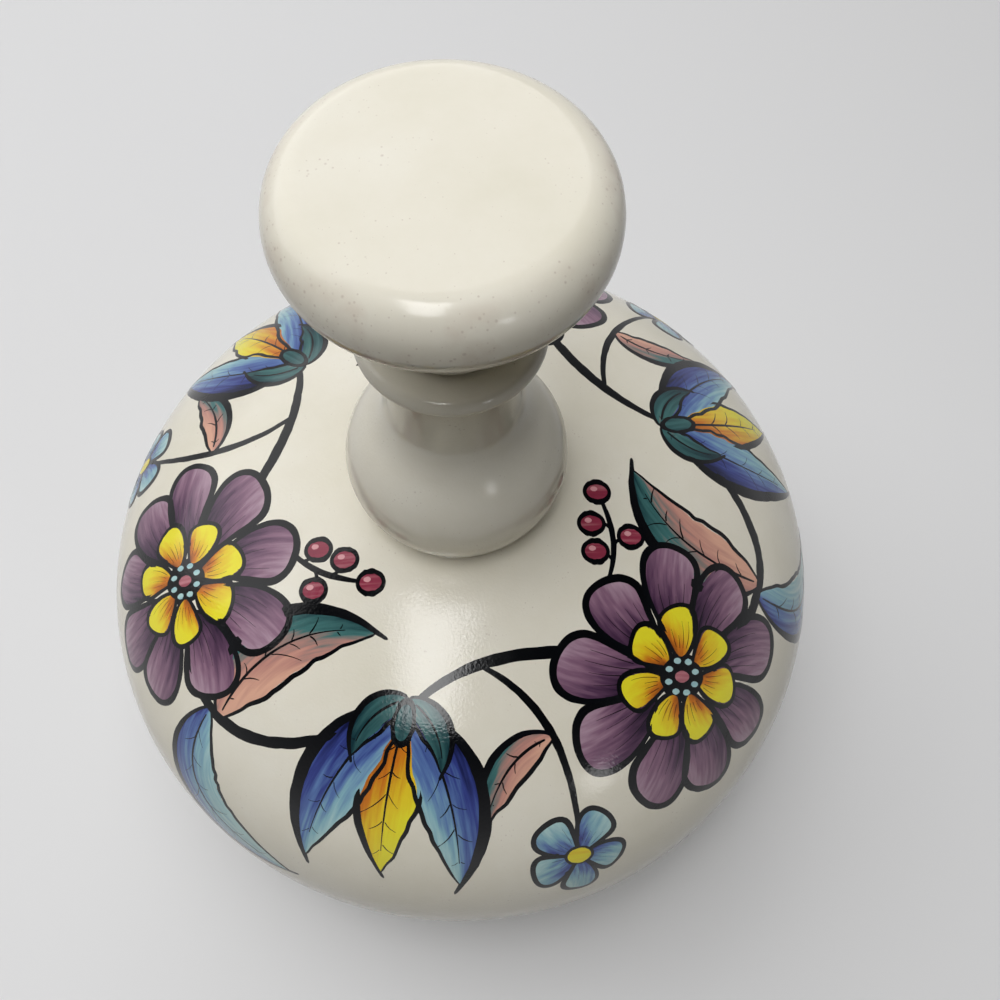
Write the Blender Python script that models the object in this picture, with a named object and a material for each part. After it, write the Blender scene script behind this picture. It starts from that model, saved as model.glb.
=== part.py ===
"""Ceramic decanter: a squat hollow bottle with a ball on its neck, and a button stopper in a cork sleeve.

Every piece is a turned profile, in metres, +Z up, with the origin at the centre of the foot on the table.
"""
import bpy
import numpy as np

MM = 0.001

# Clearance between pieces that touch on the real object
FIT_GAP = 0.3 * MM

# Bottle, outside
BODY_RADIUS = 90.0 * MM
EQUATOR_HEIGHT = 56.0 * MM
SHOULDER_RISE = 52.3 * MM
SHOULDER_FULLNESS = 2.3
FOOT_RADIUS = 47.0 * MM
FOOT_HEIGHT = 4.0 * MM
FOOT_STEP = 1.4 * MM
FOOT_RING_WIDTH = 6.5 * MM
FOOT_ROUND = 1.0 * MM
RECESS_DEPTH = 3.0 * MM
BALL_RADIUS = 23.7 * MM
BALL_HALF_HEIGHT = 20.5 * MM
THROAT_RADIUS = 18.9 * MM
NECK_RADIUS = 13.2 * MM
NECK_WAIST = 0.5 * MM
NECK_LENGTH = 24.1 * MM
NECK_FILLET = 5.0 * MM
NECK_CREASE = 1.2 * MM
LIP_RADIUS = 17.4 * MM
LIP_THICKNESS = 4.2 * MM
LIP_DISH = 0.8 * MM
LIP_FILLET = 2.0 * MM

# Bottle, inside
WALL = 4.5 * MM
FLOOR_THICKNESS = 5.0 * MM
FLOOR_ROUND = 6.0 * MM
THROAT_BORE = 14.0 * MM
NECK_BORE = 8.5 * MM
MOUTH_ROUND = 0.8 * MM

# Stopper
SEAT_RADIUS = 12.0 * MM
SEAT_ROUND = 1.2 * MM
STEM_RADIUS = 9.8 * MM
STEM_HEIGHT = 20.0 * MM
HEAD_RADIUS = 27.1 * MM
HEAD_UPPER_EDGE = 7.7 * MM
HEAD_LOWER_EDGE = 6.6 * MM
HEAD_UPPER_ROUND = 5.6 * MM
HEAD_LOWER_ROUND = 6.2 * MM
HEAD_CROWN = 0.5 * MM
SHANK_RADIUS = 5.0 * MM
SHANK_LENGTH = 12.0 * MM
SHANK_CHAMFER = 0.8 * MM
CORK_LENGTH = 18.0 * MM
CORK_TAPER = 0.7 * MM
CORK_CHAMFER = 1.0 * MM

# Facets round the axis, points on a curve before it is evened out, and the distance at which points join
SIDES = 48
FINE_POINTS = 200
JOIN_DISTANCE = 0.02 * MM

IVORY_GLAZE = (0.70, 0.66, 0.54, 1.0)
CORK_TAN = (0.46, 0.29, 0.15, 1.0)


def arc(centre, radii, start_deg, end_deg, count):
    """Points on an ellipse about centre (radius, height), from one angle to another above the horizontal."""
    angle = np.radians(np.linspace(start_deg, end_deg, count))
    return np.column_stack([centre[0] + radii[0] * np.cos(angle), centre[1] + radii[1] * np.sin(angle)])


def even(points, count):
    """The same line with its points at equal steps of length."""
    steps = np.hypot(*np.diff(points, axis=0).T)
    along = np.concatenate([[0.0], np.cumsum(steps)])
    wanted = np.linspace(0.0, along[-1], count)
    return np.column_stack([np.interp(wanted, along, points[:, axis]) for axis in (0, 1)])


def softened(before, corner, after, count):
    """A curve that leaves one point and reaches another, drawn towards the corner between them."""
    share = np.linspace(0.0, 1.0, count)[:, None]
    start, middle, end = (np.asarray(point, float) for point in (before, corner, after))
    return (1 - share) ** 2 * start + 2 * share * (1 - share) * middle + share ** 2 * end


def ellipse_height(radius, half_width, half_height):
    """Height above its centre of an ellipse at a given radius."""
    return half_height * np.sqrt(1.0 - (radius / half_width) ** 2)


def shoulder(inset, top_radius, count):
    """The shoulder from the radius at its top down to the widest ring, set in from the outside by a wall."""
    width = BODY_RADIUS - inset
    rise = SHOULDER_RISE - inset
    power = SHOULDER_FULLNESS
    top_angle = np.arccos((top_radius / width) ** (power / 2))
    angle = np.linspace(top_angle, 0.0, FINE_POINTS)
    line = np.column_stack([width * np.cos(angle) ** (2 / power),
                            EQUATOR_HEIGHT + rise * np.sin(angle) ** (2 / power)])
    return even(line, count)


def belly(inset, bottom_height, count):
    """The belly from the widest ring down to a height; outside, it springs from just beyond the foot."""
    spring_radius = FOOT_RADIUS + FOOT_STEP
    depth = (EQUATOR_HEIGHT - FOOT_HEIGHT) / np.sqrt(1.0 - (spring_radius / BODY_RADIUS) ** 2)
    end_deg = -np.degrees(np.arcsin((EQUATOR_HEIGHT - bottom_height) / (depth - inset)))
    return arc((0.0, EQUATOR_HEIGHT), (BODY_RADIUS - inset, depth - inset), 0.0, end_deg, count)


SHOULDER_TOP = shoulder(0.0, THROAT_RADIUS, count=2)[0, 1]
BALL_HEIGHT = SHOULDER_TOP + ellipse_height(THROAT_RADIUS, BALL_RADIUS, BALL_HALF_HEIGHT)
NECK_FOOT = BALL_HEIGHT + ellipse_height(NECK_RADIUS, BALL_RADIUS, BALL_HALF_HEIGHT)
LIP_BOTTOM = NECK_FOOT + NECK_LENGTH
LIP_TOP = LIP_BOTTOM + LIP_THICKNESS
STOPPER_SEAT = LIP_TOP + LIP_DISH + FIT_GAP
HEAD_HEIGHT = STOPPER_SEAT + STEM_HEIGHT + HEAD_LOWER_EDGE


def bottle_inside():
    """The hollow, from the middle of the floor up to the mouth."""
    floor = RECESS_DEPTH + FLOOR_THICKNESS
    lower = belly(WALL, floor, count=9)[::-1]
    corner = lower[0]
    floor_curve = softened((corner[0] - FLOOR_ROUND, floor), corner, lower[1], count=4)
    upper = shoulder(WALL, THROAT_BORE, count=9)[::-1]
    ball_radii = (BALL_RADIUS - WALL, BALL_HALF_HEIGHT - WALL)
    low_deg = -np.degrees(np.arccos(THROAT_BORE / ball_radii[0]))
    high_deg = np.degrees(np.arccos(NECK_BORE / ball_radii[0]))
    ball = arc((0.0, BALL_HEIGHT), ball_radii, low_deg, high_deg, count=9)
    mouth = LIP_TOP + LIP_DISH
    rim = softened((NECK_BORE, mouth - MOUTH_ROUND), (NECK_BORE, mouth), (NECK_BORE + MOUTH_ROUND, mouth),
                   count=3)
    return np.vstack([[(0.0, floor)], floor_curve, lower[2:], upper[1:], ball, rim])


def bottle_outside():
    """The outer face from the lip down over the neck, ball, shoulder and belly, and in under the foot."""
    rim_half = LIP_THICKNESS / 2
    rim = arc((LIP_RADIUS - rim_half, LIP_BOTTOM + rim_half), (rim_half, rim_half), 90, -90, count=9)
    under_lip = softened(rim[-1], (NECK_RADIUS, LIP_BOTTOM), (NECK_RADIUS, LIP_BOTTOM - LIP_FILLET), count=5)
    waist = [(NECK_RADIUS - NECK_WAIST, (LIP_BOTTOM + NECK_FOOT) / 2)]

    ball_deg = np.degrees(np.arccos((NECK_RADIUS + NECK_FILLET) / BALL_RADIUS))
    throat_deg = -np.degrees(np.arccos(THROAT_RADIUS / BALL_RADIUS))
    ball = arc((0.0, BALL_HEIGHT), (BALL_RADIUS, BALL_HALF_HEIGHT), ball_deg, throat_deg, count=13)
    neck_corner = (NECK_RADIUS + NECK_CREASE, NECK_FOOT + NECK_CREASE)
    neck_curve = softened((NECK_RADIUS, NECK_FOOT + NECK_FILLET), neck_corner, ball[0], count=4)
    upper = shoulder(0.0, THROAT_RADIUS, count=14)
    throat_curve = softened(ball[-2], ball[-1], upper[1], count=3)
    lower = belly(0.0, FOOT_HEIGHT, count=10)

    foot_inner = FOOT_RADIUS - FOOT_RING_WIDTH
    foot = np.vstack([
        [(FOOT_RADIUS, FOOT_HEIGHT - FOOT_ROUND / 2)],
        softened((FOOT_RADIUS, FOOT_ROUND), (FOOT_RADIUS, 0.0), (FOOT_RADIUS - FOOT_ROUND, 0.0), count=3),
        softened((foot_inner + FOOT_ROUND, 0.0), (foot_inner, 0.0), (foot_inner, FOOT_ROUND), count=3),
        [(foot_inner - FOOT_ROUND, RECESS_DEPTH), (0.0, RECESS_DEPTH)],
    ])
    return np.vstack([rim, under_lip[1:], waist, neck_curve, ball[1:-2], throat_curve, upper[2:], lower[1:],
                      foot])


def stopper_head_profile():
    """The button from the middle of its crown, down over the edge and stem to the seat and the shank."""
    crown_radius = HEAD_RADIUS - HEAD_UPPER_ROUND
    edge_top = HEAD_HEIGHT + HEAD_UPPER_EDGE
    upper = arc((crown_radius, HEAD_HEIGHT), (HEAD_UPPER_ROUND, HEAD_UPPER_EDGE), 90, 0, count=10)
    lower = arc((HEAD_RADIUS - HEAD_LOWER_ROUND, HEAD_HEIGHT), (HEAD_LOWER_ROUND, HEAD_LOWER_EDGE), 0, -90,
                count=6)
    waist_height = STOPPER_SEAT + STEM_HEIGHT / 2
    cove = softened(lower[-1], (STEM_RADIUS, lower[-1, 1]), (STEM_RADIUS, waist_height), count=6)
    seat_side = softened((STEM_RADIUS, waist_height), (STEM_RADIUS, STOPPER_SEAT + SEAT_ROUND * 2),
                         (SEAT_RADIUS, STOPPER_SEAT + SEAT_ROUND), count=4)
    shank_end = STOPPER_SEAT - SHANK_LENGTH
    shank = [(SEAT_RADIUS, STOPPER_SEAT), (SHANK_RADIUS, STOPPER_SEAT),
             (SHANK_RADIUS, shank_end + SHANK_CHAMFER), (SHANK_RADIUS - SHANK_CHAMFER, shank_end),
             (0.0, shank_end)]
    return np.vstack([[(0.0, edge_top + HEAD_CROWN)], upper, lower[1:], cove[1:], seat_side[1:], shank])


def stopper_cork_profile():
    """The cork from the middle of its socket floor up, over its top and down its tapered side."""
    cork_top = STOPPER_SEAT - FIT_GAP
    cork_bottom = cork_top - CORK_LENGTH
    socket_radius = SHANK_RADIUS + FIT_GAP
    socket_floor = STOPPER_SEAT - SHANK_LENGTH - FIT_GAP
    side_top = NECK_BORE - FIT_GAP
    side_bottom = side_top - CORK_TAPER
    return np.array([
        (0.0, socket_floor), (socket_radius, socket_floor), (socket_radius, cork_top),
        (side_top - CORK_CHAMFER, cork_top), (side_top, cork_top - CORK_CHAMFER),
        (side_bottom, cork_bottom + CORK_CHAMFER), (side_bottom - CORK_CHAMFER, cork_bottom),
        (0.0, cork_bottom),
    ])


def material(name, colour, roughness):
    """A plain Principled finish."""
    finish = bpy.data.materials.new(name)
    finish.use_nodes = True
    shader = finish.node_tree.nodes["Principled BSDF"]
    shader.inputs["Base Color"].default_value = colour
    shader.inputs["Roughness"].default_value = roughness
    shader.inputs["Metallic"].default_value = 0.0
    return finish


def turned(name, profile, finish, carrier=None):
    """A piece turned about the axis from a profile of radius and height that runs down its outer side."""
    base = carrier.location.z if carrier else 0.0
    points = [(radius, 0.0, height - base) for radius, height in profile]
    mesh = bpy.data.meshes.new(name)
    mesh.from_pydata(points, [(i, i + 1) for i in range(len(points) - 1)], [])
    mesh.materials.append(finish)
    piece = bpy.data.objects.new(name, mesh)
    bpy.context.scene.collection.objects.link(piece)
    piece.parent = carrier
    lathe = piece.modifiers.new("lathe", "SCREW")
    lathe.axis = "Z"
    lathe.steps = SIDES
    lathe.render_steps = SIDES
    lathe.use_merge_vertices = True
    lathe.merge_threshold = JOIN_DISTANCE
    lathe.use_smooth_shade = True
    return piece


def main():
    for old in list(bpy.data.objects):
        bpy.data.objects.remove(old, do_unlink=True)

    glaze = material("ivory_glaze", IVORY_GLAZE, 0.18)
    stopper_glaze = material("stopper_glaze", IVORY_GLAZE, 0.18)
    cork = material("cork", CORK_TAN, 0.85)

    stopper = bpy.data.objects.new("stopper_axis", None)
    stopper.location = (0.0, 0.0, STOPPER_SEAT)
    bpy.context.scene.collection.objects.link(stopper)

    turned("bottle", np.vstack([bottle_inside(), bottle_outside()]), glaze)
    turned("stopper_head", stopper_head_profile(), stopper_glaze, stopper)
    turned("stopper_cork", stopper_cork_profile(), cork, stopper)


main()
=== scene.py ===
import math

import bpy
import numpy as np
from mathutils import Matrix, Vector


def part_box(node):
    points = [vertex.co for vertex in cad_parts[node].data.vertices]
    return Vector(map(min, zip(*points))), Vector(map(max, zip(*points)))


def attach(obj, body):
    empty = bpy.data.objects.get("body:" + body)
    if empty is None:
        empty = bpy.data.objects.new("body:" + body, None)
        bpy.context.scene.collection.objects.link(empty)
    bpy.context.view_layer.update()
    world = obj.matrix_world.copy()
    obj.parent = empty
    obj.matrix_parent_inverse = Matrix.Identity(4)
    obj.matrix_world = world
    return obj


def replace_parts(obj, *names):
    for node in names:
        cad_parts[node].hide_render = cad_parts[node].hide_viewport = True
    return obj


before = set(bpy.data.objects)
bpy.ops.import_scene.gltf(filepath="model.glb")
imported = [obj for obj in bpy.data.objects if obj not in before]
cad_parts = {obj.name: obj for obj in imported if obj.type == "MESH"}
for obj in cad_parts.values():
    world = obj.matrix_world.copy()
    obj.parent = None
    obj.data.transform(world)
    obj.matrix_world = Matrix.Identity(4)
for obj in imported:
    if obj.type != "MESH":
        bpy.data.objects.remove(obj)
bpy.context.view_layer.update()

# The decanter's looks: a glazed bottle and stopper, a cork sleeve, and a wreath of flowers painted on the
# shoulder. Lengths are in metres. Sizes that the frame shows are read from it, and the rest repeat those of
# the solids, but for a softer upper edge on the button and a sharper crease at the foot of the neck.

MM = 0.001

BOTTLE_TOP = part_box("bottle")[1]
HEAD_LOW, HEAD_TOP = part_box("stopper_head")
CORK_LOW, CORK_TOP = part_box("stopper_cork")

# Bottle, outside
BODY_RADIUS = BOTTLE_TOP.x
EQUATOR_HEIGHT = 56.0 * MM
SHOULDER_RISE = 52.3 * MM
SHOULDER_FULLNESS = 2.3
FOOT_RADIUS = 47.0 * MM
FOOT_HEIGHT = 4.0 * MM
FOOT_STEP = 1.4 * MM
FOOT_RING_WIDTH = 6.5 * MM
FOOT_ROUND = 1.0 * MM
RECESS_DEPTH = 3.0 * MM
BALL_RADIUS = 23.7 * MM
BALL_HALF_HEIGHT = 20.5 * MM
THROAT_RADIUS = 18.9 * MM
THROAT_FILLET = 2.0 * MM
NECK_RADIUS = 13.2 * MM
NECK_WAIST = 0.5 * MM
NECK_FILLET = 5.0 * MM
NECK_CREASE = 0.6 * MM
LIP_RADIUS = 17.4 * MM
LIP_THICKNESS = 4.2 * MM
LIP_DISH = 0.8 * MM
LIP_FILLET = 2.0 * MM
LIP_TOP = BOTTLE_TOP.z - LIP_DISH
LIP_BOTTOM = LIP_TOP - LIP_THICKNESS

# Bottle, inside
WALL = 4.5 * MM
FLOOR_THICKNESS = 5.0 * MM
FLOOR_ROUND = 6.0 * MM
THROAT_BORE = 14.0 * MM
NECK_BORE = 8.5 * MM
MOUTH_ROUND = 0.8 * MM

# Stopper
FIT_GAP = 0.3 * MM
STOPPER_SEAT = BOTTLE_TOP.z + FIT_GAP
SEAT_RADIUS = 12.0 * MM
SEAT_ROUND = 1.2 * MM
STEM_RADIUS = 9.8 * MM
STEM_HEIGHT = 20.0 * MM
HEAD_RADIUS = HEAD_TOP.x
HEAD_LOWER_EDGE = 6.6 * MM
HEAD_UPPER_ROUND = 6.5 * MM
HEAD_FULLNESS = 2.2
HEAD_LOWER_ROUND = 6.2 * MM
HEAD_CROWN = 0.5 * MM
HEAD_HEIGHT = STOPPER_SEAT + STEM_HEIGHT + HEAD_LOWER_EDGE
HEAD_UPPER_EDGE = HEAD_TOP.z - HEAD_CROWN - HEAD_HEIGHT
SHANK_RADIUS = 5.0 * MM
SHANK_CHAMFER = 0.8 * MM
CORK_TAPER = 0.7 * MM
CORK_CHAMFER = 1.0 * MM

# Mesh fineness: facets round the axis, steps along a profile, points on a curve before it is evened out, and
# the point of the belly where the rounded floor meets it inside
SIDES = 256
SMALL_SIDES = 160
FINE_STEP = 0.35 * MM
OUTER_STEP = 1.1 * MM
INNER_STEP = 4.0 * MM
CURVE_POINTS = 1200
BELLY_POINTS = 400
BALL_POINTS = 200
NECK_POINTS = 20
FLOOR_JOIN = 40

# Glaze: how much of the orange peel shows, the radius beyond which it runs thin, which the bottle never
# passes, and the width over which it does
BOTTLE_GRAIN = 0.9
STOPPER_GRAIN = 0.35
BOTTLE_RIM = BODY_RADIUS
STOPPER_RIM = HEAD_RADIUS - 5 * MM
RIM_WIDTH = 3 * MM

# Sockets of a Mix node: its two colours and the colour that comes out
COLOUR_A, COLOUR_B, COLOUR_OUT = 6, 7, 2

# Painted films: how far the first coat and each next layer stand above the glaze, how strokes of one coat are
# staggered so that none lie level, and how far edges and undersides go into the glaze
FIRST_LIFT = 0.04 * MM
LAYER_LIFT = 0.05 * MM
STAGGER = 40
STAGGER_LIFT = 0.0004 * MM
FILM_EDGE = 0.02 * MM
FILM_ROOT = 0.2 * MM

# Points along and across the painted strips
LEAF_COLUMNS = 9
PETAL_ROWS = 34
DOT_ROWS = 25
DOT_KNOTS = 11
DOT_COLUMNS = 7
STEM_POINTS = 61
TWIG_POINTS = 41

# The wreath: its repeats, the azimuth of the first in degrees, and how far from the axis each kind of flower
# sits on the rolled-out shoulder, in millimetres
WREATH_REPEATS = 3
WREATH_START = -45.0
FLOWER_REACH = 67
TULIP_REACH = 54
BLOSSOM_REACH = 90
HAND = np.random.default_rng(11)

# Camera, fitted to the outlines in the photograph: it looks down on the body's middle, a little off centre
FOCAL_SHARE = 1.0027
SENSOR_WIDTH = 36.0
CAMERA_DISTANCE = 273.3 * MM
CAMERA_ELEVATION = 67.63
CAMERA_PAN = -2.29
CAMERA_TILT = 3.43
CAMERA_ROLL = -3.36

# Half the width of the floor
FLOOR_HALF = 3.0


def linear(hex_colour):
    """An sRGB hex colour as linear red, green, blue and alpha."""
    channels = [int(hex_colour[i:i + 2], 16) / 255 for i in (1, 3, 5)]
    return [c / 12.92 if c <= 0.04045 else ((c + 0.055) / 1.055) ** 2.4 for c in channels] + [1.0]


def per_mm(size_mm):
    """Texture scale, in cells to the metre, that gives cells of a size in millimetres."""
    return 1000.0 / size_mm


def node(tree, kind, inputs=None, stops=(), **settings):
    """Adds a node, sets its properties and its colour stops, and sets or links each named input."""
    made = tree.nodes.new(kind)
    for key, value in settings.items():
        setattr(made, key, value)
    for place, _ in stops[len(made.color_ramp.elements):] if stops else ():
        made.color_ramp.elements.new(place)
    for k, (place, colour) in enumerate(stops):
        made.color_ramp.elements[k].position = place
        made.color_ramp.elements[k].color = linear(colour)
    for key, value in (inputs or {}).items():
        if isinstance(value, bpy.types.NodeSocket):
            tree.links.new(value, made.inputs[key])
        else:
            made.inputs[key].default_value = value
    return made


def new_material(name):
    """An empty node material, its tree and its shader."""
    material = bpy.data.materials.new(name)
    material.use_nodes = True
    return material, material.node_tree, material.node_tree.nodes["Principled BSDF"]


def glaze_skin(tree, shader, place, grain=BOTTLE_GRAIN):
    """The fired skin that glaze and paint share: a gloss over faint ripples and a fine orange peel, whose
    grain breaks up a highlight. The bump is ripple plus grain times peel. Returns the roughness."""
    ripple = node(tree, "ShaderNodeTexNoise", {"Vector": place, "Scale": per_mm(6.0), "Detail": 1.0})
    peel = node(tree, "ShaderNodeTexNoise", {"Vector": place, "Scale": per_mm(0.6), "Detail": 1.0})
    height = node(tree, "ShaderNodeMath", {0: peel.outputs["Fac"], 1: grain, 2: ripple.outputs["Fac"]},
                  operation="MULTIPLY_ADD")
    bump = node(tree, "ShaderNodeBump", {"Height": height.outputs[0], "Strength": 0.3, "Distance": 0.1 * MM})
    gloss = node(tree, "ShaderNodeMapRange", {
        "Value": ripple.outputs["Fac"], "From Min": 0.3, "From Max": 0.7, "To Min": 0.10, "To Max": 0.16})
    tree.links.new(bump.outputs[0], shader.inputs["Normal"])
    shader.inputs["IOR"].default_value = 1.5
    return gloss.outputs[0]


def ivory_glaze(name, rim, grain):
    """Tin-white glaze on stoneware, dipped and fired: warm ivory, slightly cloudy, with fine iron specks and
    brown smudges where it runs thin over a rim. The ring that stands on the table is wiped bare, so it is
    buff and dull."""
    material, tree, shader = new_material(name)
    place = node(tree, "ShaderNodeTexCoord").outputs["Object"]
    cloud = node(tree, "ShaderNodeTexNoise", {
        "Vector": place, "Scale": per_mm(28), "Detail": 6.0, "Roughness": 0.62})
    ground = node(tree, "ShaderNodeValToRGB", {"Fac": cloud.outputs["Fac"]},
                  [(0.30, "#e1dccb"), (0.50, "#e6e1d2"), (0.70, "#eae6d9")])

    flat = node(tree, "ShaderNodeVectorMath", {0: place, 1: (1.0, 1.0, 0.0)}, operation="MULTIPLY")
    radius = node(tree, "ShaderNodeVectorMath", {0: flat.outputs[0]}, operation="LENGTH")
    thin = node(tree, "ShaderNodeMapRange", {
        "Value": radius.outputs["Value"], "From Min": rim, "From Max": rim + RIM_WIDTH})
    patch = node(tree, "ShaderNodeTexNoise", {"Vector": place, "Scale": per_mm(7), "Detail": 4.0})
    spread = node(tree, "ShaderNodeMapRange", {
        "Value": patch.outputs["Fac"], "From Min": 0.45, "From Max": 0.70, "To Min": 0.06, "To Max": 0.40})
    crowd = node(tree, "ShaderNodeMath", {0: thin.outputs[0], 1: 0.24, 2: spread.outputs[0]},
                 operation="MULTIPLY_ADD")
    cells = node(tree, "ShaderNodeTexVoronoi", {"Vector": place, "Scale": per_mm(0.9)})
    size = node(tree, "ShaderNodeMath", {0: cells.outputs["Color"], 1: crowd.outputs[0]},
                operation="MULTIPLY")
    speck = node(tree, "ShaderNodeMapRange", {
        "Value": cells.outputs["Distance"], "From Min": size.outputs[0], "From Max": 0.0, "To Max": 0.42})
    specked = node(tree, "ShaderNodeMix", {
        "Factor": speck.outputs[0], COLOUR_A: ground.outputs["Color"], COLOUR_B: linear("#96796a")},
        data_type="RGBA")
    smudge = node(tree, "ShaderNodeMapRange", {
        "Value": patch.outputs["Fac"], "From Min": 0.50, "From Max": 0.72, "To Max": 0.30})
    stain = node(tree, "ShaderNodeMath", {0: thin.outputs[0], 1: smudge.outputs[0]}, operation="MULTIPLY")
    worn = node(tree, "ShaderNodeMix", {
        "Factor": stain.outputs[0], COLOUR_A: specked.outputs[COLOUR_OUT], COLOUR_B: linear("#b79c86")},
        data_type="RGBA")

    high = node(tree, "ShaderNodeSeparateXYZ", {"Vector": place}).outputs["Z"]
    bare = node(tree, "ShaderNodeMapRange", {"Value": high, "From Min": 1.1 * MM, "From Max": 0.7 * MM})
    colour = node(tree, "ShaderNodeMix", {
        "Factor": bare.outputs[0], COLOUR_A: worn.outputs[COLOUR_OUT], COLOUR_B: linear("#b59b78")},
        data_type="RGBA")
    skin = glaze_skin(tree, shader, place, grain)
    gloss = node(tree, "ShaderNodeMath", {0: bare.outputs[0], 1: 0.6, 2: skin}, operation="MULTIPLY_ADD")
    tree.links.new(colour.outputs[COLOUR_OUT], shader.inputs["Base Color"])
    tree.links.new(gloss.outputs[0], shader.inputs["Roughness"])
    return material


def enamel(name, stops, streak):
    """Enamel brushed on wet before the last firing: each stroke runs from one colour into the next, and the
    brush hairs leave streaks along it, about a millimetre wide."""
    material, tree, shader = new_material(name)
    place = node(tree, "ShaderNodeTexCoord").outputs["Object"]
    brush = node(tree, "ShaderNodeAttribute", attribute_name="brush").outputs["Vector"]
    tone = node(tree, "ShaderNodeSeparateXYZ", {"Vector": brush}).outputs["Z"]
    hairs = node(tree, "ShaderNodeMapping", {"Vector": brush, "Scale": (per_mm(14), per_mm(1.1), 3.0)})
    streaks = node(tree, "ShaderNodeTexNoise", {"Vector": hairs.outputs[0], "Scale": 1.0, "Detail": 3.0})
    shift = node(tree, "ShaderNodeMapRange", {
        "Value": streaks.outputs["Fac"], "From Min": 0.25, "From Max": 0.75,
        "To Min": -streak, "To Max": streak})
    mixed = node(tree, "ShaderNodeMath", {0: tone, 1: shift.outputs[0]}, operation="ADD")
    colour = node(tree, "ShaderNodeValToRGB", {"Fac": mixed.outputs[0]}, stops)
    tree.links.new(colour.outputs["Color"], shader.inputs["Base Color"])
    tree.links.new(glaze_skin(tree, shader, place), shader.inputs["Roughness"])
    return material


def natural_cork():
    """Cork cut from bark: tan and dull, with fine grains, and dark flat pores where the bark breathed."""
    material, tree, shader = new_material("natural_cork")
    place = node(tree, "ShaderNodeTexCoord").outputs["Object"]
    grains = node(tree, "ShaderNodeTexVoronoi", {"Vector": place, "Scale": per_mm(0.9)})
    cloud = node(tree, "ShaderNodeTexNoise", {"Vector": place, "Scale": per_mm(5), "Detail": 4.0})
    blend = node(tree, "ShaderNodeMath", {0: grains.outputs["Distance"], 1: 0.45, 2: cloud.outputs["Fac"]},
                 operation="MULTIPLY_ADD")
    tan = node(tree, "ShaderNodeValToRGB", {"Fac": blend.outputs[0]},
               [(0.45, "#d3ab7a"), (0.70, "#bb8f5e"), (0.95, "#8f6540")])
    flat = node(tree, "ShaderNodeMapping", {
        "Vector": place, "Scale": (per_mm(2.6), per_mm(2.6), per_mm(0.9))})
    pores = node(tree, "ShaderNodeTexNoise", {"Vector": flat.outputs[0], "Scale": 1.0, "Detail": 3.0})
    pore = node(tree, "ShaderNodeMapRange", {
        "Value": pores.outputs["Fac"], "From Min": 0.60, "From Max": 0.66})
    colour = node(tree, "ShaderNodeMix", {
        "Factor": pore.outputs[0], COLOUR_A: tan.outputs["Color"], COLOUR_B: linear("#54381f")},
        data_type="RGBA")
    depth = node(tree, "ShaderNodeMath", {0: pore.outputs[0], 1: 1.5, 2: blend.outputs[0]},
                 operation="MULTIPLY_ADD")
    bump = node(tree, "ShaderNodeBump", {"Height": depth.outputs[0], "Strength": 0.6, "Distance": 0.25 * MM},
                invert=True)
    tree.links.new(colour.outputs[COLOUR_OUT], shader.inputs["Base Color"])
    tree.links.new(bump.outputs[0], shader.inputs["Normal"])
    shader.inputs["Roughness"].default_value = 0.85
    return material


def arc(centre, radii, start_deg, end_deg, count=90):
    """Points on an ellipse about a centre (radius, height): the centre plus radii times cosine and sine."""
    angle = np.radians(np.linspace(start_deg, end_deg, count))
    return np.column_stack([centre[0] + radii[0] * np.cos(angle), centre[1] + radii[1] * np.sin(angle)])


def softened(before, corner, after, count=16):
    """A parabola that leaves one point and reaches another, drawn towards the corner between them."""
    share = np.linspace(0.0, 1.0, count)[:, None]
    start, middle, end = (np.asarray(point, float) for point in (before, corner, after))
    return (1 - share) ** 2 * start + 2 * share * (1 - share) * middle + share ** 2 * end


def lengths_along(line):
    """Length from a line's start to each of its points."""
    return np.concatenate([[0.0], np.cumsum(np.hypot(*np.diff(line, axis=0).T))])


def even(line, step, start=0.0, end=0.0):
    """The same line with its points about a step apart, cut short by a length at its start and its end."""
    along = lengths_along(line)
    reach = along[-1] - start - end
    wanted = np.linspace(start, along[-1] - end, max(2, int(math.ceil(reach / step)) + 1))
    return np.column_stack([np.interp(wanted, along, line[:, axis]) for axis in (0, 1)])


def ellipse_height(radius, half_width, half_height):
    """Height above its centre of an ellipse at a given radius."""
    return half_height * math.sqrt(1.0 - (radius / half_width) ** 2)


def superellipse(centre, radii, power, start):
    """A curve from a start angle down to the horizontal: the radii times powers of cosine and sine, so that
    it leaves its flat top more gently than an ellipse does."""
    angle = np.linspace(start, 0.0, CURVE_POINTS)
    return np.column_stack([centre[0] + radii[0] * np.cos(angle) ** (2 / power),
                            centre[1] + radii[1] * np.sin(angle) ** (2 / power)])


def shoulder(inset, top_radius):
    """The shoulder from the radius at its top down to the widest ring, set in from the outside by a wall."""
    width = BODY_RADIUS - inset
    start = math.acos((top_radius / width) ** (SHOULDER_FULLNESS / 2))
    return superellipse((0.0, EQUATOR_HEIGHT), (width, SHOULDER_RISE - inset), SHOULDER_FULLNESS, start)


def belly(inset, bottom_height):
    """Part of a quarter ellipse, from the widest ring down to a height. Outside, it springs from just beyond
    the foot."""
    spring = (FOOT_RADIUS + FOOT_STEP) / BODY_RADIUS
    depth = (EQUATOR_HEIGHT - FOOT_HEIGHT) / math.sqrt(1.0 - spring ** 2) - inset
    end_deg = -math.degrees(math.asin((EQUATOR_HEIGHT - bottom_height) / depth))
    return arc((0.0, EQUATOR_HEIGHT), (BODY_RADIUS - inset, depth), 0.0, end_deg, BELLY_POINTS)


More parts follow.
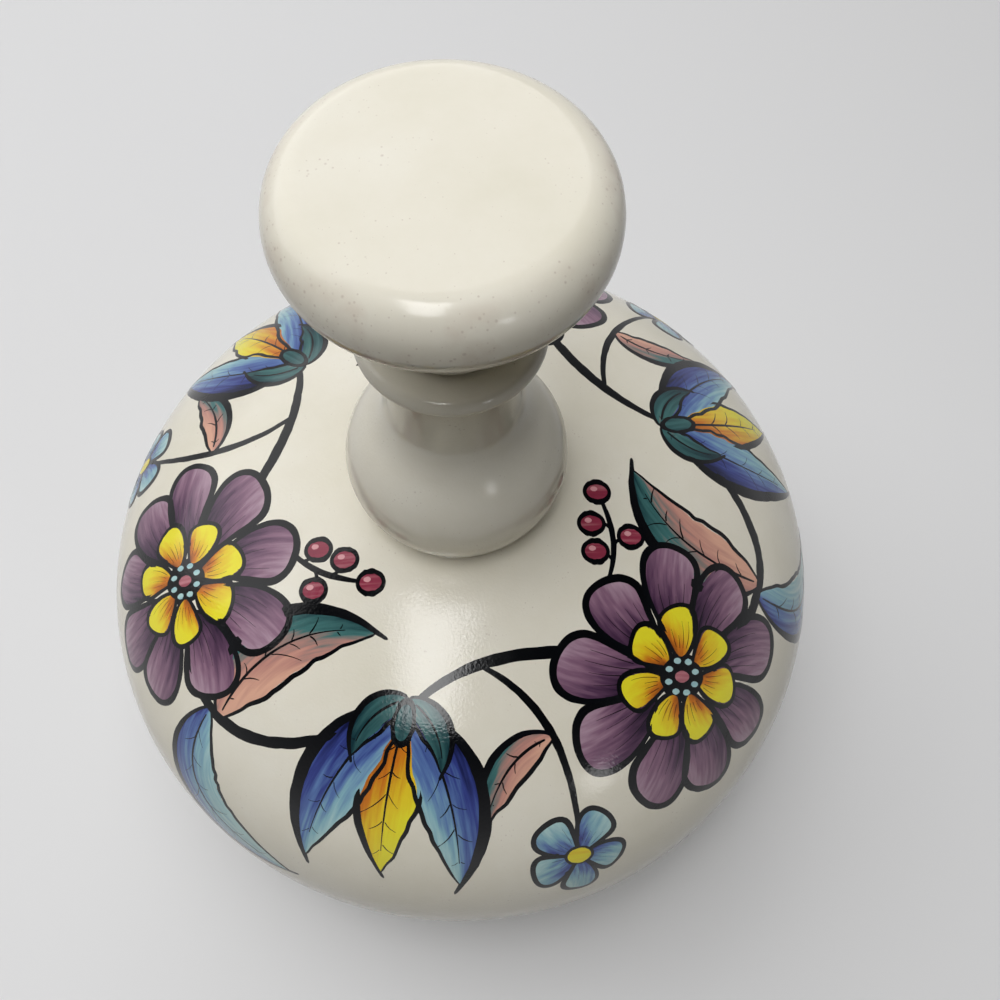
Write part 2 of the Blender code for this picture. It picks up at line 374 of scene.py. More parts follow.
SHOULDER_TOP = shoulder(0.0, THROAT_RADIUS)[0, 1]
BALL_HEIGHT = SHOULDER_TOP + ellipse_height(THROAT_RADIUS, BALL_RADIUS, BALL_HALF_HEIGHT)
NECK_FOOT = BALL_HEIGHT + ellipse_height(NECK_RADIUS, BALL_RADIUS, BALL_HALF_HEIGHT)


def bottle_inside():
    """The hollow from the middle of the floor up to the mouth."""
    floor = RECESS_DEPTH + FLOOR_THICKNESS
    lower = belly(WALL, floor)[::-1]
    floor_curve = softened((lower[0, 0] - FLOOR_ROUND, floor), lower[0], lower[FLOOR_JOIN])
    radii = (BALL_RADIUS - WALL, BALL_HALF_HEIGHT - WALL)
    ball = arc((0.0, BALL_HEIGHT), radii, -math.degrees(math.acos(THROAT_BORE / radii[0])),
               math.degrees(math.acos(NECK_BORE / radii[0])))
    mouth = BOTTLE_TOP.z
    rim = softened((NECK_BORE, mouth - MOUTH_ROUND), (NECK_BORE, mouth), (NECK_BORE + MOUTH_ROUND, mouth), 8)
    wall = np.vstack([floor_curve, lower[FLOOR_JOIN + 1:], shoulder(WALL, THROAT_BORE)[::-1], ball, rim[:1]])
    return np.vstack([[(0.0, floor)], even(wall, INNER_STEP), rim])


def bottle_outside():
    """The outer face from the lip down over the neck, ball, shoulder and belly, and in under the foot."""
    half = LIP_THICKNESS / 2
    rim = arc((LIP_RADIUS - half, LIP_BOTTOM + half), (half, half), 90, -90)
    under_lip = softened(rim[-1], (NECK_RADIUS, LIP_BOTTOM), (NECK_RADIUS, LIP_BOTTOM - LIP_FILLET))
    neck_heights = np.linspace(LIP_BOTTOM - LIP_FILLET, NECK_FOOT + NECK_FILLET, NECK_POINTS)
    neck_radii = NECK_RADIUS - NECK_WAIST * np.sin(np.linspace(0, math.pi, NECK_POINTS))
    neck = np.column_stack([neck_radii, neck_heights])
    ball = arc((0.0, BALL_HEIGHT), (BALL_RADIUS, BALL_HALF_HEIGHT),
               math.degrees(math.acos((NECK_RADIUS + NECK_FILLET) / BALL_RADIUS)),
               -math.degrees(math.acos(THROAT_RADIUS / BALL_RADIUS)), BALL_POINTS)
    neck_corner = (NECK_RADIUS + NECK_CREASE, NECK_FOOT + NECK_CREASE)
    neck_curve = softened((NECK_RADIUS, NECK_FOOT + NECK_FILLET), neck_corner, ball[0])
    upper = shoulder(0.0, THROAT_RADIUS)
    ball_side = even(ball, OUTER_STEP, end=THROAT_FILLET)
    shoulder_side = even(np.vstack([upper, belly(0.0, FOOT_HEIGHT)[1:]]), OUTER_STEP, start=THROAT_FILLET)
    throat_curve = softened(ball_side[-1], ball[-1], shoulder_side[0])
    inner = FOOT_RADIUS - FOOT_RING_WIDTH
    foot = np.vstack([
        softened((FOOT_RADIUS, FOOT_ROUND), (FOOT_RADIUS, 0.0), (FOOT_RADIUS - FOOT_ROUND, 0.0), 6),
        softened((inner + FOOT_ROUND, 0.0), (inner, 0.0), (inner, FOOT_ROUND), 6),
        softened((inner - FOOT_ROUND / 2, RECESS_DEPTH - FOOT_ROUND), (inner - FOOT_ROUND, RECESS_DEPTH),
                 (inner - 3 * FOOT_ROUND, RECESS_DEPTH), 6),
        [(inner / 2, RECESS_DEPTH), (0.0, RECESS_DEPTH)],
    ])
    foot_step = softened(shoulder_side[-1], (FOOT_RADIUS, FOOT_HEIGHT - FOOT_ROUND / 2),
                         (FOOT_RADIUS, FOOT_HEIGHT - 2 * FOOT_ROUND), 6)
    return np.vstack([even(rim, FINE_STEP), even(under_lip, FINE_STEP)[1:], even(neck, OUTER_STEP)[1:],
                      even(neck_curve, FINE_STEP)[1:], ball_side[1:], even(throat_curve, FINE_STEP)[1:],
                      shoulder_side[1:], foot_step[1:], foot])


def head_profile():
    """The button from the middle of its crown, down over the edge and stem to the seat and the shank."""
    flat = HEAD_RADIUS - HEAD_UPPER_ROUND
    edge = superellipse((flat, HEAD_HEIGHT), (HEAD_UPPER_ROUND, HEAD_UPPER_EDGE), HEAD_FULLNESS, math.pi / 2)
    upper = even(np.vstack([[(0.0, edge[0, 1])], edge]), FINE_STEP)
    upper[:, 1] += HEAD_CROWN * (1 - (upper[:, 0] / HEAD_RADIUS) ** 2)
    lower = arc((HEAD_RADIUS - HEAD_LOWER_ROUND, HEAD_HEIGHT), (HEAD_LOWER_ROUND, HEAD_LOWER_EDGE), 0, -90)
    waist = STOPPER_SEAT + STEM_HEIGHT / 2
    cove = softened(lower[-1], (STEM_RADIUS, lower[-1, 1]), (STEM_RADIUS, waist), 40)
    seat_side = softened((STEM_RADIUS, waist), (STEM_RADIUS, STOPPER_SEAT + SEAT_ROUND * 2),
                         (SEAT_RADIUS, STOPPER_SEAT + SEAT_ROUND), 30)
    seat_edge = softened((SEAT_RADIUS, STOPPER_SEAT + SEAT_ROUND), (SEAT_RADIUS, STOPPER_SEAT),
                         (SEAT_RADIUS - SEAT_ROUND, STOPPER_SEAT), 8)
    shank = [(SHANK_RADIUS, STOPPER_SEAT), (SHANK_RADIUS, HEAD_LOW.z + SHANK_CHAMFER),
             (SHANK_RADIUS - SHANK_CHAMFER, HEAD_LOW.z), (0.0, HEAD_LOW.z)]
    return np.vstack([even(np.vstack([upper, lower[1:], cove[1:], seat_side[1:]]), 2 * FINE_STEP),
                      seat_edge[1:], shank])


def cork_profile():
    """The cork from the middle of its socket floor up, over its top and down its tapered side."""
    socket, socket_floor = SHANK_RADIUS + FIT_GAP, HEAD_LOW.z - FIT_GAP
    low_radius = CORK_TOP.x - CORK_TAPER
    side = [(CORK_TOP.x, CORK_TOP.z - CORK_CHAMFER), (low_radius, CORK_LOW.z + CORK_CHAMFER)]
    return np.vstack([
        [(0.0, socket_floor), (socket, socket_floor), (socket, CORK_TOP.z),
         (CORK_TOP.x - CORK_CHAMFER, CORK_TOP.z)],
        even(np.array(side), OUTER_STEP),
        [(low_radius - CORK_CHAMFER, CORK_LOW.z), (0.0, CORK_LOW.z)],
    ])


def turned(profile, sides):
    """A closed turned skin: each profile point but the two on the axis becomes a ring, radius times cosine
    and sine at its height, with quads between rings and triangles to the poles. Returns points and faces."""
    angle = np.linspace(0.0, 2 * math.pi, sides, endpoint=False)
    rings = profile[1:-1]
    points = np.stack([np.outer(rings[:, 0], np.cos(angle)), np.outer(rings[:, 0], np.sin(angle)),
                       np.repeat(rings[:, 1:], sides, axis=1)], axis=-1).reshape(-1, 3)
    count = len(points)
    points = np.vstack([points, [0.0, 0.0, profile[0, 1]], [0.0, 0.0, profile[-1, 1]]])
    index = np.arange(count).reshape(len(rings), sides)
    beside = np.roll(index, -1, axis=1)
    quads = np.stack([index[:-1], index[1:], beside[1:], beside[:-1]], axis=-1).reshape(-1, 4)
    first = np.stack([np.full(sides, count), index[0], beside[0]], axis=-1)
    last = np.stack([np.full(sides, count + 1), beside[-1], index[-1]], axis=-1)
    return points, quads.tolist() + first.tolist() + last.tolist()


def piece(name, points, faces, material, body, slot):
    """A smooth mesh object that rides on a body."""
    mesh = bpy.data.meshes.new(name)
    mesh.from_pydata(points.tolist(), [], faces)
    mesh.shade_smooth()
    mesh.materials.append(material)
    made = bpy.data.objects.new(name, mesh)
    bpy.context.scene.collection.objects.link(made)
    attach(made, body)
    return made


def make_vessel():
    """The bottle, the stopper and its cork as fine turned skins that stand for their solids."""
    bottle_glaze = ivory_glaze("bottle_glaze", BOTTLE_RIM, BOTTLE_GRAIN)
    stopper_glaze = ivory_glaze("stopper_glaze", STOPPER_RIM, STOPPER_GRAIN)
    profile = np.vstack([bottle_inside(), bottle_outside()])
    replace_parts(piece("glazed_bottle", *turned(profile, SIDES), bottle_glaze, "bottle", "bottle_glaze"),
                "bottle")
    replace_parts(piece("glazed_stopper", *turned(head_profile(), SMALL_SIDES), stopper_glaze, "stopper",
                      "stopper_glaze"), "stopper_head")
    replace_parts(piece("cork_sleeve", *turned(cork_profile(), SMALL_SIDES), natural_cork(), "stopper", "cork"),
                "stopper_cork")


# The wreath is drawn on a flat plan in metres, as if the shoulder were rolled out from the axis, and then
# wrapped on.

OUTER_LINE = np.vstack([shoulder(0.0, 0.2 * MM), belly(0.0, FOOT_HEIGHT)[1:]])
OUTER_REACH = lengths_along(OUTER_LINE)
STROKES = {}


def wrapped(plan, lift):
    """Plan points on the shoulder: distance from the centre becomes length along the outer line, the angle
    stays, and each point is lifted along the surface's normal. Returns points and normals."""
    reach = np.hypot(plan[..., 0], plan[..., 1])
    slope = np.gradient(OUTER_LINE, OUTER_REACH, axis=0)
    radius, height, run, fall = (np.interp(reach, OUTER_REACH, column)
                                 for column in (*OUTER_LINE.T, *slope.T))
    steep = np.hypot(run, fall)
    across, around = plan[..., 0] / reach, plan[..., 1] / reach
    normal = np.stack([-fall / steep * across, -fall / steep * around, run / steep], axis=-1)
    points = np.stack([radius * across, radius * around, height], axis=-1)
    return points + np.asarray(lift)[..., None] * normal, normal


def at(azimuth, reach_mm):
    """A plan point at an azimuth in degrees and a distance from the axis."""
    angle = math.radians(azimuth)
    return np.array([math.cos(angle), math.sin(angle)]) * reach_mm * MM


def sides_of(line):
    """Unit vectors to the left of a line at each of its points."""
    run = np.gradient(line, axis=0)
    run /= np.hypot(*run.T)[:, None]
    return np.column_stack([-run[:, 1], run[:, 0]])


def tremor(line, size, pitch_mm):
    """The hand's tremor along a line: random heights at even distances, joined by straight runs."""
    along = lengths_along(line)
    knots = np.arange(0.0, along[-1] + 2 * pitch_mm * MM, pitch_mm * MM)
    return np.interp(along, knots, HAND.uniform(-size, size, len(knots)))


def stroke(coat, line, left, right, tone, layer, columns):
    """One strip of paint: the line plus its side vector times a share of the half-width on that side, from
    the right edge to the left. Each point keeps its place along and across, and its tone, for brush marks."""
    strokes = STROKES.setdefault(coat, [])
    share = np.linspace(-1.0, 1.0, columns)[None, :]
    offset = np.where(share < 0, share * right[:, None], share * left[:, None])
    plan = line[:, None, :] + offset[..., None] * sides_of(line)[:, None, :]
    along = np.repeat(lengths_along(line)[:, None], columns, axis=1) + HAND.uniform(0.0, 1.0)
    brush = np.stack([along, offset, np.broadcast_to(tone, offset.shape)], axis=-1)
    lift = FIRST_LIFT + layer * LAYER_LIFT + len(strokes) % STAGGER * STAGGER_LIFT
    strokes.append((plan, brush, lift))


def ink(line, most, least=0.15, peak=0.5, layer=0, coat="black_outlines", step=0.7, columns=5):
    """A line drawn with a loaded brush: its half-width swells from its ends to a peak along it."""
    line = even(line, step * MM)
    share = np.linspace(0.0, 1.0, len(line))
    bulge = np.sin(math.pi * share ** (math.log(0.5) / math.log(peak)))
    half = (least + (most - least) * bulge) * MM
    left, right = (half * (1 + tremor(line, 0.10, 6) + tremor(line, 0.09, 1.7)) for _ in range(2))
    left[[0, -1]] *= 0.4
    right[[0, -1]] *= 0.4
    stroke(coat, line, left, right, 0.5 * (1 - bulge)[:, None], layer + 0.5, columns)


def dot(coat, centre, radius_mm, tone=0.0, layer=0.5, stretch=1.0, azimuth=0.0):
    """A round or oval touch of the brush: a short strip whose half-width is that of an ellipse, times a
    wobble of a few hundredths."""
    share = np.sin(np.linspace(-math.pi / 2, math.pi / 2, DOT_ROWS))
    wobble = np.interp(share, np.linspace(-1.0, 1.0, DOT_KNOTS), HAND.uniform(0.94, 1.06, DOT_KNOTS))
    line = centre + share[:, None] * at(azimuth, radius_mm * stretch)
    half = radius_mm * MM * np.sqrt(np.clip(1 - share ** 2, 0.002, 1)) * wobble
    stroke(coat, line, half, half, tone, layer, DOT_COLUMNS)


def almond(share):
    """Half-width of a pointed leaf along its length: a sine that peaks before the middle."""
    return np.clip(np.sin(math.pi * share ** 0.8) ** 0.9, 0.02, None)


def spoon(share):
    """Half-width of a round-ended petal along its length: a root rise cut off by a steep round tip."""
    return np.clip(1.12 * share ** 0.6 * np.sqrt(np.clip(1 - share ** 5, 0, 1)), 0.02, None)


def veins(line, half, count, layer):
    """Short tapering strokes that leave a leaf's midrib on both sides in turn and lean towards the tip."""
    side, run = sides_of(line), np.gradient(line, axis=0)
    run /= np.hypot(*run.T)[:, None]
    for place in np.linspace(0.14, 0.80, count):
        for hand in (1, -1):
            k = int((place + HAND.uniform(-0.03, 0.03)) * (len(line) - 1))
            reach = half[k] * HAND.uniform(0.40, 0.85)
            tip = line[k] + side[k] * hand * reach + run[k] * reach * HAND.uniform(0.4, 1.1)
            elbow = line[k] + side[k] * hand * reach * 0.3 + run[k] * reach * 0.6
            ink(softened(line[k], elbow, tip, 12), HAND.uniform(0.35, 0.65), least=0.12, peak=0.3,
                layer=layer, coat="black_veins", step=0.8, columns=3)


def leaf(coat, start, bow, end, width, tones, lean=0.3, vein_count=6, layer=0, thick=1.7):
    """A pointed leaf along a bowed line: a thick smooth outline and the darker paint on the side that it bows
    to, a thin rough outline on the other, a midrib and veins. Its tone also runs from its base to its tip."""
    line = even(softened(start, bow, end, 120), 0.7 * MM)
    share = np.linspace(0.0, 1.0, len(line))
    half = width * MM / 2 * almond(share)
    smooth = half * (1 + tremor(line, 0.04, 8))
    rough = half * (1 + tremor(line, 0.05, 8)) + np.minimum(half, 0.4 * MM) * tremor(line, 1.0, 2.4)
    before, after = bow - start, end - bow
    outer = 1 if before[0] * after[1] < before[1] * after[0] else -1
    across = np.linspace(-1.0, 1.0, LEAF_COLUMNS)[None, :]
    tone = tones[0] + (tones[1] - tones[0]) * share[:, None] + lean * outer * across
    left, right = (smooth, rough) if outer > 0 else (rough, smooth)
    stroke(coat, line, left, right, np.clip(tone, 0.01, 0.99), layer, LEAF_COLUMNS)
    side = sides_of(line) * outer
    outline = line + side * smooth[:, None]
    flick = outline[-1] + (outline[-1] - outline[-5]) * 0.6 * thick
    midrib = line[2:int(len(line) * 0.86)]
    ink(np.vstack([outline, flick]), thick, least=0.40, peak=0.55, layer=layer)
    ink(line - side * rough[:, None], 0.62, least=0.30, peak=0.4, layer=layer)
    ink(midrib, 0.5, least=0.16, peak=0.25, layer=layer, coat="black_veins")
    veins(line, half, vein_count, layer)


def petal(coat, start, bow, end, width, tones, lean, layer, thick):
    """A round-ended petal: one outline drawn round it and fine lines from its base."""
    whole = softened(start, bow, end, 120)
    share = np.sin(np.linspace(0.0, math.pi / 2, PETAL_ROWS))
    places = np.linspace(0, 1, len(whole))
    line = np.column_stack([np.interp(share, places, whole[:, axis]) for axis in (0, 1)])
    left, right = (width * MM / 2 * spoon(share) * (1 + tremor(line, 0.05, 7)) for _ in range(2))
    across = np.linspace(-1.0, 1.0, LEAF_COLUMNS)[None, :]
    tone = tones[0] + (tones[1] - tones[0]) * share[:, None] + lean * across
    stroke(coat, line, left, right, np.clip(tone, 0.01, 0.99), layer, LEAF_COLUMNS)
    side = sides_of(line)
    edge, back = line + side * left[:, None], line - side * right[:, None]
    ink(np.vstack([edge, back[-2::-1]]), thick, least=0.5, peak=0.62, layer=layer)
    for place in (-0.55, -0.2, 0.12, 0.48):
        inner = line + side * (place * left)[:, None]
        ink(inner[3:int(HAND.uniform(12, 20))], 0.4, least=0.12, peak=0.25, layer=layer, coat="black_veins",
            step=0.8, columns=3)


def ring_of_petals(coat, centre, count, inner, outer, width, tones, lean, layer, swirl, turn, thick):
    """Petals set round a centre, each bowed the same way so that the flower seems to turn."""
    for k in range(count):
        angle = 360 / count * k + turn + HAND.uniform(-3, 3)
        tip = outer * HAND.uniform(0.94, 1.04)
        petal(coat, centre + at(angle, inner), centre + at(angle + swirl, (inner + tip) / 2),
              centre + at(angle, tip), width * HAND.uniform(0.94, 1.06), tones, lean, layer, thick)


def flower(centre, turn):
    """A double flower: an outer ring of plum petals, an inner ring of yellow ones and a dotted boss."""
    ring_of_petals("plum_mauve", centre, count=9, inner=8.0, outer=28.5, width=17.0, tones=(0.95, 0.22),
                   lean=0.22, layer=1, swirl=10, turn=turn, thick=1.1)
    ring_of_petals("sun_yellow", centre, count=7, inner=4.0, outer=15.0, width=11.0, tones=(0.75, 0.0),
                   lean=0.25, layer=2, swirl=-9, turn=turn + 20, thick=0.8)
    dot("black_outlines", centre, 5.6, tone=0.1, layer=3)
    for k in range(8):
        dot("sky_turquoise", centre + at(45 * k + turn, 3.6), 0.9, tone=0.1, layer=4)
    dot("crimson_plum", centre, 1.8, tone=0.3, layer=4)


def tulip(base, azimuth):
    """An open bud: a yellow middle petal, two blue ones that bend away from it, two small sepals, a cap."""
    def place(ahead, aside):
        return base + at(azimuth, ahead) + at(azimuth + 90, aside)

    leaf("sun_yellow", place(1, 0), place(18, -1.5), place(37, 0), width=14, tones=(0.8, 0.0), lean=0.25,
         vein_count=5, layer=0, thick=1.1)
    for hand in (-1, 1):
        leaf("sky_turquoise", place(0, 1.5 * hand), place(13, 15 * hand), place(37, 19 * hand), width=14.5,
             tones=(0.85, 0.30), lean=0.32, vein_count=5, layer=1, thick=1.8)
        leaf("salmon_teal", place(-3, 0), place(1, 9 * hand), place(11, 10 * hand), width=6.5,
             tones=(0.6, 0.9), lean=0.1, vein_count=2, layer=2, thick=0.9)
    dot("black_outlines", place(2, 0), 3.3, tone=0.1, layer=3, stretch=1.6, azimuth=azimuth)
    dot("salmon_teal", place(2, 0), 2.4, tone=0.75, layer=4, stretch=1.6, azimuth=azimuth)


def blossom(centre, turn):
    """A small single flower: five blue petals round a yellow eye with a ring of dots."""
    ring_of_petals("sky_turquoise", centre, count=5, inner=1.5, outer=12.0, width=11.0, tones=(0.75, 0.10),
                   lean=0.2, layer=1, swirl=8, turn=turn, thick=0.9)
    dot("black_outlines", centre, 3.7, tone=0.1, layer=2)
    dot("sun_yellow", centre, 2.9, tone=0.2, layer=3)
    for k in range(5):
        dot("black_outlines", centre + at(72 * k + turn + 36, 5.6), 0.55, tone=0.0, layer=2)


def berries(start, azimuth, hand):
    """A sprig of crimson berries on a bent stem, each with an outline and a pale touch of light."""
    stem = softened(start, start + at(azimuth, 10), start + at(azimuth + 34 * hand, 22), 24)
    glint = np.array([-0.7, 0.7]) * MM
    ink(stem, 0.8, least=0.35)
    for k, side in ((9, 1), (13, -1), (17, 1), (23, 0)):
        middle = stem[k] + sides_of(stem)[k] * side * 4.2 * MM
        if side:
            ink(softened(stem[k - 3], stem[k], middle, 8), 0.45, least=0.3)
        dot("black_outlines", middle, 3.3, tone=0.1, layer=1)
        dot("crimson_plum", middle, 2.4, tone=0.45, layer=2)
        dot("crimson_plum", middle + glint, 0.8, tone=0.02, layer=3)


def repeat_of_wreath(turn):
    """One third of the wreath: a stem that waves out from a flower to a tulip and back in to the next flower,
    with a leaf on each side, a small blossom on a twig of its own, and berries."""
    flower_place, next_flower = at(turn, FLOWER_REACH), at(turn + 120, FLOWER_REACH)
    tulip_place = at(turn + 60, TULIP_REACH)
    outward = softened(flower_place, at(turn + 30, 98), tulip_place, STEM_POINTS)
    inward = softened(tulip_place, at(turn + 86, 34), next_flower, STEM_POINTS)
    fork = inward[20]
    twig = softened(fork, at(turn + 97, 58), at(turn + 90, 88), TWIG_POINTS)
    outer_bud, inner_bud, twig_bud = outward[23], outward[26], twig[20]
    ink(outward, 1.5, least=0.7, peak=0.5)
    ink(inward, 1.5, least=0.7, peak=0.5)
    ink(twig, 1.0, least=0.5, peak=0.4)
    leaf("sky_turquoise", outer_bud, at(turn + 24, 109), at(turn + 46, 104), width=16, tones=(0.55, 0.15))
    leaf("salmon_teal", inner_bud, at(turn + 20, 51), at(turn + 46, 40), width=15, tones=(0.1, 0.75))
    leaf("salmon_teal", twig_bud, at(turn + 80, 62), at(turn + 76, 78), width=8, tones=(0.1, 0.7), lean=0.3,
         vein_count=4, layer=0, thick=1.1)
    blossom(at(turn + 90, BLOSSOM_REACH), turn + 12)
    flower(flower_place, turn + HAND.uniform(0, 40))
    tulip(tulip_place, turn + 60)
    berries(at(turn + 3, 41), turn + 100, hand=1)


def film(name, strokes, material):
    """Strokes as thin closed films: a raised top grid whose edges dip into the glaze, the same grid sunk
    below it, and walls between. The top takes the shoulder's own normals, so that paint and glaze shade as
    one skin."""
    points, normals, brushes, faces, count = [], [], [], [], 0
    for plan, brush, lift in strokes:
        rows, columns = plan.shape[:2]
        raised = np.full((rows, columns), lift)
        raised[[0, -1], :] = -FILM_EDGE
        raised[:, [0, -1]] = -FILM_EDGE
        top, normal = wrapped(plan, raised)
        under, _ = wrapped(plan, np.full((rows, columns), -FILM_ROOT))
        index = count + np.arange(rows * columns).reshape(rows, columns)
        below = index + rows * columns
        loop = np.concatenate([index[:-1, 0], index[-1, :-1], index[:0:-1, -1], index[0, :0:-1]])
        after = np.roll(loop, -1)
        upper = np.stack([index[:-1, :-1], index[1:, :-1], index[1:, 1:], index[:-1, 1:]], -1)
        lower = np.stack([below[:-1, :-1], below[:-1, 1:], below[1:, 1:], below[1:, :-1]], -1)
        walls = np.stack([loop, loop + rows * columns, after + rows * columns, after], -1)
        faces += [upper.reshape(-1, 4), lower.reshape(-1, 4), walls]
        points += [top.reshape(-1, 3), under.reshape(-1, 3)]
        normals += [normal.reshape(-1, 3), -normal.reshape(-1, 3)]
        brushes += [brush.reshape(-1, 3)] * 2
        count += 2 * rows * columns
    made = piece(name, np.vstack(points), np.vstack(faces).tolist(), material, "bottle", "bottle_glaze")
    made.data.normals_split_custom_set_from_vertices(np.vstack(normals).tolist())
    brush_marks = made.data.attributes.new("brush", "FLOAT_VECTOR", "POINT")
    brush_marks.data.foreach_set("vector", np.vstack(brushes).ravel())


def make_wreath():
    """The repeats of the wreath, with each coat of paint as one film."""
    for k in range(WREATH_REPEATS):
        repeat_of_wreath(WREATH_START + 360 / WREATH_REPEATS * k)
    pigments = {
        "sun_yellow": ([(0.12, "#ece12e"), (0.35, "#e6c426"), (0.60, "#cc761c"), (0.92, "#70300f")], 0.12),
        "sky_turquoise": ([(0.05, "#b0d2d2"), (0.32, "#86b3c0"), (0.55, "#5876ac"), (0.76, "#333f86"),
                           (0.98, "#121740")], 0.18),
        "salmon_teal": ([(0.05, "#dba992"), (0.35, "#bb877c"), (0.58, "#41706f"), (0.92, "#0f3038")], 0.15),
        "plum_mauve": ([(0.05, "#b093a3"), (0.40, "#86637a"), (0.68, "#573a54"), (0.95, "#2a1830")], 0.18),
        "crimson_plum": ([(0.05, "#d59aa0"), (0.45, "#8e3348"), (0.95, "#3f1628")], 0.14),
    }
    for pigment, (stops, streak) in pigments.items():
        film(pigment + "_paint", STROKES[pigment], enamel(pigment + "_enamel", stops, streak))
    ink_black = enamel("ink_black_enamel", [(0.0, "#06070a"), (0.6, "#090c11"), (1.0, "#121822")], 0.10)
    for coat in ("black_outlines", "black_veins"):
        film(coat, STROKES[coat], ink_black)


def seen(tree):
    """1 for a ray from the camera or a reflection, where the setting is pale, and 0 for the light that it
    gives."""
    path = node(tree, "ShaderNodeLightPath")
    mirrored = node(tree, "ShaderNodeMath", {
        0: path.outputs["Is Glossy Ray"], 1: path.outputs["Is Transmission Ray"]}, operation="MAXIMUM")
    return node(tree, "ShaderNodeMath", {0: path.outputs["Is Camera Ray"], 1: mirrored.outputs[0]},
                operation="MAXIMUM").outputs[0]


def make_floor():
    """A pale floor that fades into the pale wall far from the object."""
    half = FLOOR_HALF
    corners = [(-half, -half, 0), (half, -half, 0), (half, half, 0), (-half, half, 0)]
    mesh = bpy.data.meshes.new("floor")
    mesh.from_pydata(corners, [], [(0, 1, 2, 3)])
    material, tree, shader = new_material("pale_floor")
    shade = node(tree, "ShaderNodeMix", {
        "Factor": seen(tree), COLOUR_A: linear("#7f7a6a"), COLOUR_B: linear("#e6e6e7")}, data_type="RGBA")
    tree.links.new(shade.outputs[COLOUR_OUT], shader.inputs["Base Color"])
    shader.inputs["Roughness"].default_value = 0.9
    place = node(tree, "ShaderNodeTexCoord").outputs["Object"]
    away = node(tree, "ShaderNodeVectorMath", {0: place}, operation="LENGTH")
    far = node(tree, "ShaderNodeMapRange", {
        "Value": away.outputs["Value"], "From Min": 0.30, "From Max": 1.1}, interpolation_type="SMOOTHSTEP")
    fade = node(tree, "ShaderNodeMath", {0: far.outputs[0], 1: seen(tree)}, operation="MULTIPLY")
    horizon = node(tree, "ShaderNodeEmission", {"Color": linear("#d6d6d8")})
    merged = node(tree, "ShaderNodeMixShader", {
        0: fade.outputs[0], 1: shader.outputs[0], 2: horizon.outputs[0]})
    tree.links.new(merged.outputs[0], tree.nodes["Material Output"].inputs["Surface"])
    mesh.materials.append(material)
    floor = bpy.data.objects.new("floor", mesh)
    bpy.context.scene.collection.objects.link(floor)


def make_camera():
    """The camera on a line that rises from the body's middle, then panned, tilted and rolled about its own
    axes."""
    camera = bpy.data.cameras.new("camera")
    camera.sensor_width = SENSOR_WIDTH
    camera.lens = SENSOR_WIDTH * FOCAL_SHARE
    camera.clip_start = 0.01
    shown = bpy.data.objects.new("camera", camera)
    bpy.context.scene.collection.objects.link(shown)
    look = Matrix.Rotation(math.radians(90 - CAMERA_ELEVATION), 4, "X")
    place = look.to_3x3().col[2] * CAMERA_DISTANCE
    place.z += EQUATOR_HEIGHT
    shown.matrix_world = (Matrix.Translation(place) @ look
                          @ Matrix.Rotation(math.radians(CAMERA_PAN), 4, "Y")
                          @ Matrix.Rotation(math.radians(CAMERA_TILT), 4, "X")
                          @ Matrix.Rotation(math.radians(CAMERA_ROLL), 4, "Z"))
    bpy.context.scene.camera = shown


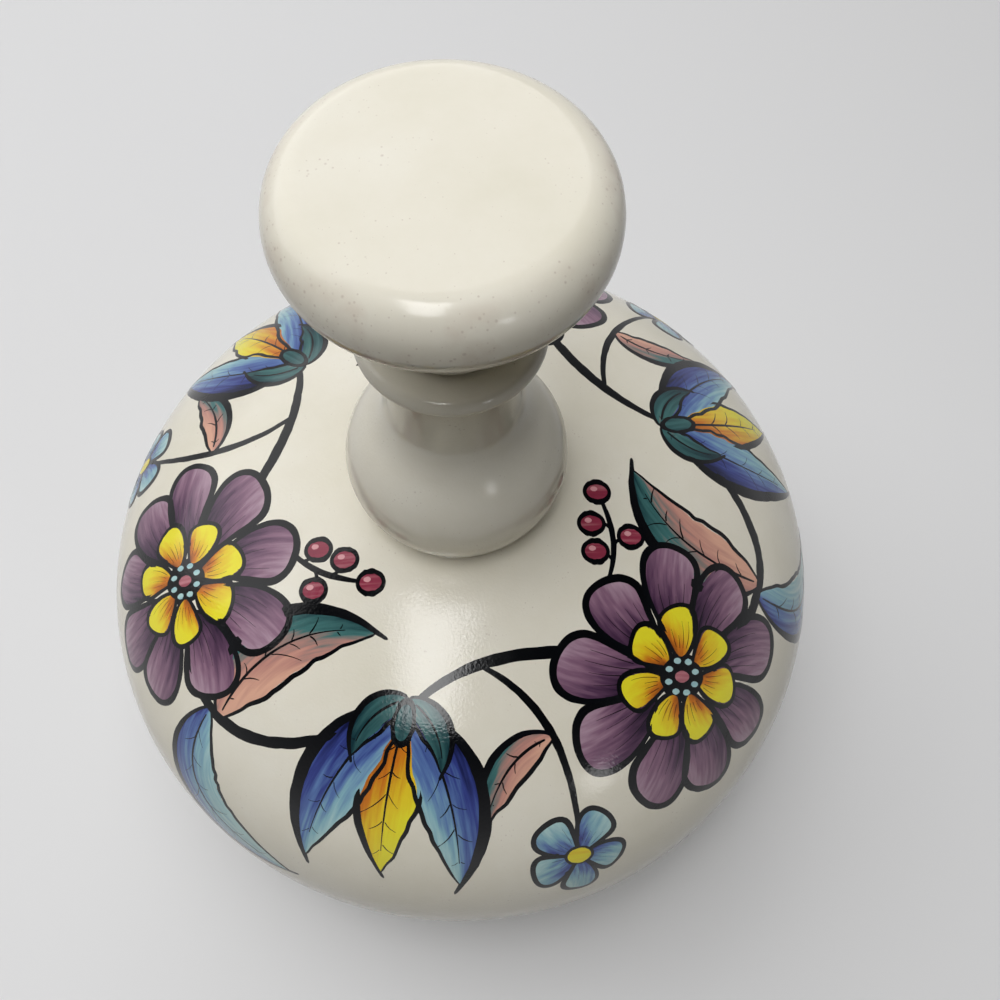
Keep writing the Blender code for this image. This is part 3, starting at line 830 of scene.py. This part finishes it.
def area_light(name, place, aim, width, length, watts, roll=0.0, mirrored=True):
    """A rectangular lamp at a place, turned to face a point and rolled about that line by degrees. One that
    isn't mirrored lights the object without a reflection in the glaze, as a wide matt ceiling does."""
    lamp = bpy.data.lights.new(name, "AREA")
    lamp.shape = "RECTANGLE"
    lamp.size, lamp.size_y = width, length
    lamp.energy = watts
    shown = bpy.data.objects.new(name, lamp)
    bpy.context.scene.collection.objects.link(shown)
    facing = (Vector(place) - Vector(aim)).to_track_quat("Z", "Y").to_matrix().to_4x4()
    shown.matrix_world = Matrix.Translation(place) @ facing @ Matrix.Rotation(math.radians(roll), 4, "Z")
    shown.visible_glossy = mirrored


def make_light():
    """Soft studio light: a panel overhead for the long highlight on the shoulder, a wide matt ceiling, a
    softbox behind on the left, and a small window for the spark on the ball. The sky is dim as a light, and a
    pale wall where it is seen."""
    middle = (0.0, 0.0, EQUATOR_HEIGHT)
    area_light("ceiling_panel", (-0.17, -0.32, 1.3), (-0.17, -0.32, 0.0), width=0.28, length=0.78, watts=4.2,
               roll=-10)
    area_light("ceiling_bounce", (-0.20, 0.0, 1.4), (-0.20, 0.0, 0.0), width=1.2, length=1.0, watts=8.6,
               mirrored=False)
    area_light("back_softbox", (-0.55, 0.78, 0.95), middle, width=2.2, length=1.2, watts=10.2)
    area_light("side_window", (0.46, -0.75, 0.50), middle, width=0.12, length=0.19, watts=0.27)
    world = bpy.data.worlds.new("studio")
    bpy.context.scene.world = world
    world.use_nodes = True
    tree = world.node_tree
    place = node(tree, "ShaderNodeTexCoord").outputs["Generated"]
    lean = node(tree, "ShaderNodeVectorMath", {0: place, 1: (-0.15, 0.35, 0.50)}, operation="DOT_PRODUCT")
    share = node(tree, "ShaderNodeMapRange", {
        "Value": lean.outputs["Value"], "From Min": -0.35, "From Max": 0.6})
    sky = node(tree, "ShaderNodeValToRGB", {"Fac": share.outputs[0]},
               [(0.0, "#060605"), (0.5, "#100f0d"), (1.0, "#33322e")])
    high = node(tree, "ShaderNodeSeparateXYZ", {"Vector": place}).outputs["Z"]
    wall = node(tree, "ShaderNodeValToRGB", {"Fac": high},
                [(0.05, "#d6d6d8"), (0.40, "#98989a"), (0.80, "#1c1c1d")])
    shown = node(tree, "ShaderNodeMix", {
        "Factor": seen(tree), COLOUR_A: sky.outputs["Color"], COLOUR_B: wall.outputs["Color"]},
        data_type="RGBA")
    tree.links.new(shown.outputs[COLOUR_OUT], tree.nodes["Background"].inputs["Color"])


bpy.context.scene.view_settings.view_transform = "Standard"
make_vessel()
make_wreath()
make_floor()
make_camera()
make_light()
